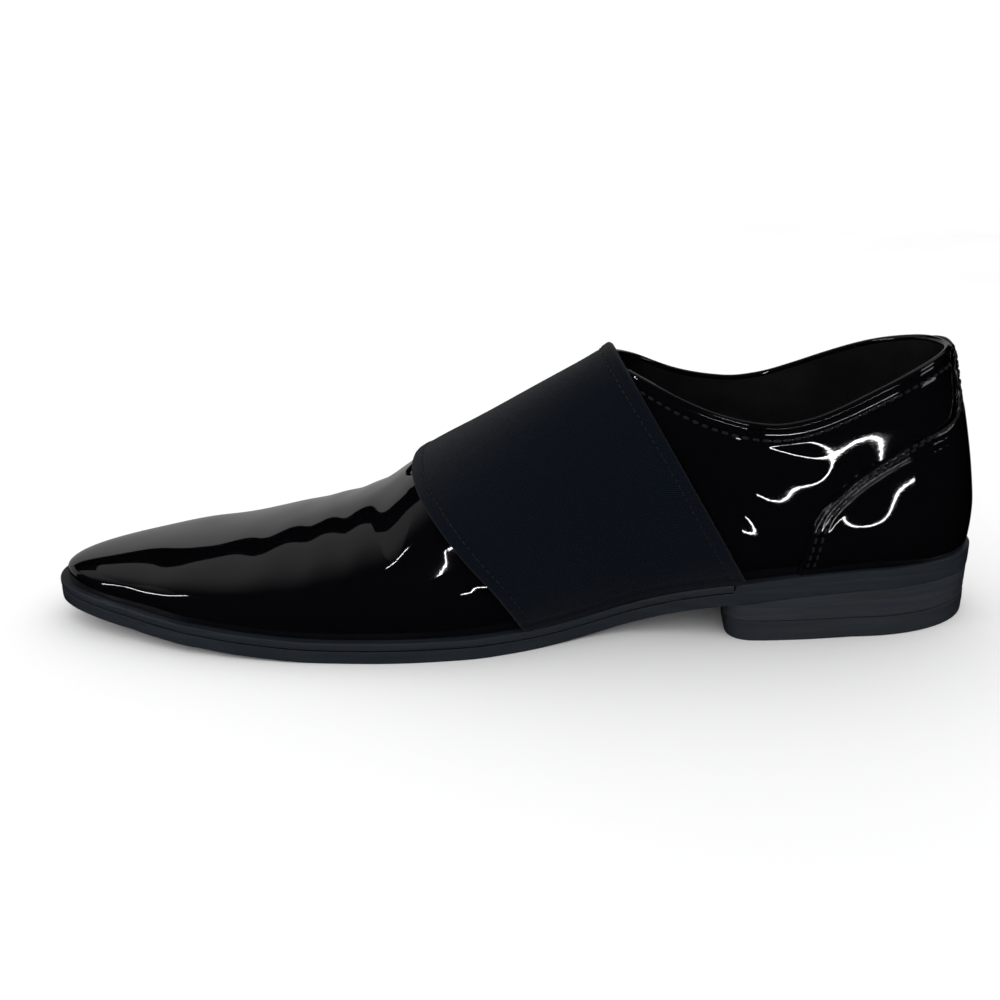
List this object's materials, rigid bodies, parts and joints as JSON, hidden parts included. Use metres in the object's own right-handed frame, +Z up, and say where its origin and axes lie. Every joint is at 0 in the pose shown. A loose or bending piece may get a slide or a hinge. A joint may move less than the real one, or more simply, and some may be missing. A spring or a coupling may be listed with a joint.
{
  "type": "slip-on dress shoe",
  "caption": "Right-foot slip-on dress shoe in black patent leather, with a wide elastic band over the instep, an outside heel counter, a thin welted sole and a low stacked heel.",
  "frame": {"origin": "middle of the shoe's box, on the floor under the sole", "axes": "+X from the back of the heel to the toe, +Y to the inner side of the foot, +Z up"},
  "size_m": [0.298, 0.0994, 0.0873],
  "materials": {
    "patent_leather": "high gloss patent lacquer over black leather",
    "elastic_fabric": "matt woven elastic with a fine diagonal rib",
    "lining_leather": "matt black lining",
    "sole_edge": "satin black sole edge with faint layer lines",
    "heel_stack": "satin black stacked heel",
    "heel_rubber": "satin to matt black rubber"
  },
  "bodies": {
    "root": {"upper": "patent_leather", "heel_counter": "patent_leather", "instep_band": "elastic_fabric", "tongue": "patent_leather", "insole": "lining_leather", "welt": "sole_edge", "outsole": "sole_edge", "heel_lift": "heel_stack", "heel_top_piece": "heel_rubber"}
  },
  "joints": []
}
